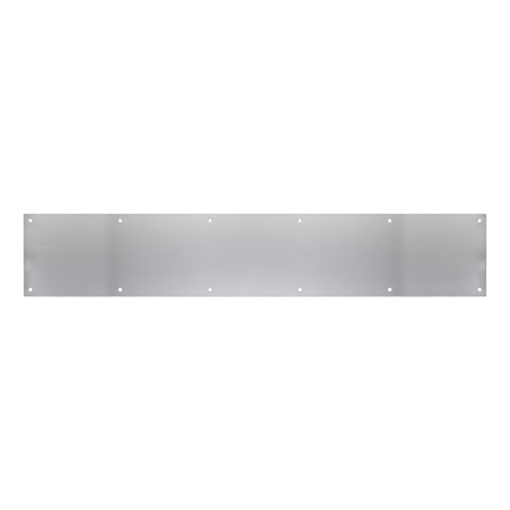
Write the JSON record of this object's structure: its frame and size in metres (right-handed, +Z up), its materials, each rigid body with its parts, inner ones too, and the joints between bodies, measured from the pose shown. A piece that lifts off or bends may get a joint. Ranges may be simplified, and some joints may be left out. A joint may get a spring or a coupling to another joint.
{
  "type": "kick plate",
  "caption": "Flat rectangular satin stainless door kick plate with eased edges and a row of open countersunk screw holes along each long edge.",
  "frame": {"origin": "centre of the flat back face, the face that lies against the door", "axes": "+X along the length, +Z up as fitted, +Y out of the back face into the door, so the satin front faces -Y"},
  "size_m": [0.838, 0.0015, 0.15],
  "materials": {
    "satin_stainless": "satin brushed stainless steel sheet, fine straight grain along the length, neutral to slightly cool grey"
  },
  "bodies": {
    "root": {"kick_plate": "satin_stainless"}
  },
  "joints": []
}
